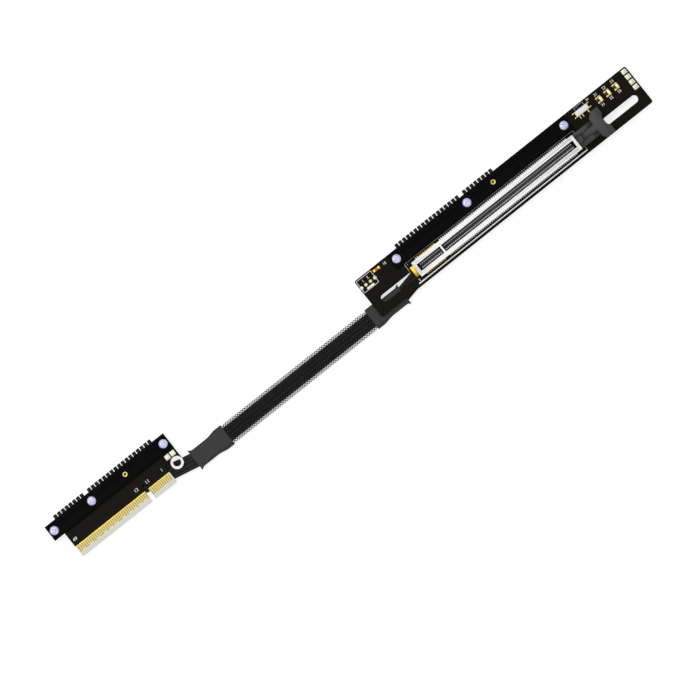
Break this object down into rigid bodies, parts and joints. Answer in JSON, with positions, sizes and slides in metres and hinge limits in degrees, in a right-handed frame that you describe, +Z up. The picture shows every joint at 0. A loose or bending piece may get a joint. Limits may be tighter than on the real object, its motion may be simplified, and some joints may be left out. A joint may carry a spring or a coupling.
{
  "type": "pcie extension cable",
  "caption": "Riser cable: a long board with a full-length card socket, a flat bundle of ribbons in a braided sleeve, and a short board with a keyed gold edge.",
  "frame": {"origin": "on the surface that the part lies on, under the middle of its outline", "axes": "+X along the cable from the plug board to the socket board, +Y towards the edge that the ribbons fold over, +Z up out of the card socket"},
  "size_m": [0.3222, 0.0246, 0.0192],
  "materials": {
    "board_mask": "satin solder mask",
    "cover_black": "matt moulded",
    "ribbon_black": "satin extruded jacket",
    "shrink_grey": "shrunk polyolefin",
    "sleeve_braid": "braided monofilament",
    "slot_white": "satin moulded",
    "latch_grey": "satin moulded",
    "contact_metal": "tin plate",
    "gold_plate": "gold plate",
    "screw_steel": "nickel plate",
    "insert_brass": "turned",
    "switch_white": "satin moulded",
    "switch_black": "satin moulded",
    "solder_tin": "tinned",
    "light_white": "clear resin",
    "resistor_black": "glazed",
    "lamp_red": "tinted resin"
  },
  "bodies": {
    "root": {"socket_board": "board_mask", "plug_board": "board_mask", "socket_front_cover": "cover_black", "socket_rear_cover": "cover_black", "plug_front_cover": "cover_black", "plug_rear_cover": "cover_black", "socket_cover_screws": "screw_steel", "plug_cover_screws": "screw_steel", "socket_cover_insert": "insert_brass", "plug_cover_insert": "insert_brass", "socket_lane_ribbons": "ribbon_black", "socket_aux_ribbons": "ribbon_black", "plug_lane_ribbons": "ribbon_black", "plug_aux_ribbons": "ribbon_black", "slot_housing": "slot_white", "power_contacts": "gold_plate", "signal_contacts_upper": "contact_metal", "signal_contacts_lower": "contact_metal", "slot_solder_tab": "gold_plate", "latch_base": "latch_grey", "switch_shell": "switch_white", "switch_pins": "gold_plate", "status_lights": "light_white", "light_resistors": "resistor_black", "chip_lamp": "lamp_red", "chip_ends": "gold_plate", "socket_solder_pads": "solder_tin", "plug_solder_pads": "solder_tin", "edge_fingers_front": "gold_plate", "edge_fingers_rear": "gold_plate", "socket_heat_shrink": "shrink_grey", "plug_heat_shrink": "shrink_grey", "cable_core": "ribbon_black", "braided_sleeve": "sleeve_braid"},
    "card_latch": {"card_latch": "latch_grey"},
    "switch_slider": {"switch_slider": "switch_black"}
  },
  "joints": [
    {"name": "latch_hinge", "type": "hinge", "parent": "root", "child": "card_latch", "pos_m": [0.12905, -0.00258, 0.01], "axis": [0, 1, 0], "range_deg": [0, 15]},
    {"name": "switch_slide", "type": "slide", "parent": "root", "child": "switch_slider", "axis": [1, 0, 0], "range_m": [0, 0.0015]}
  ]
}
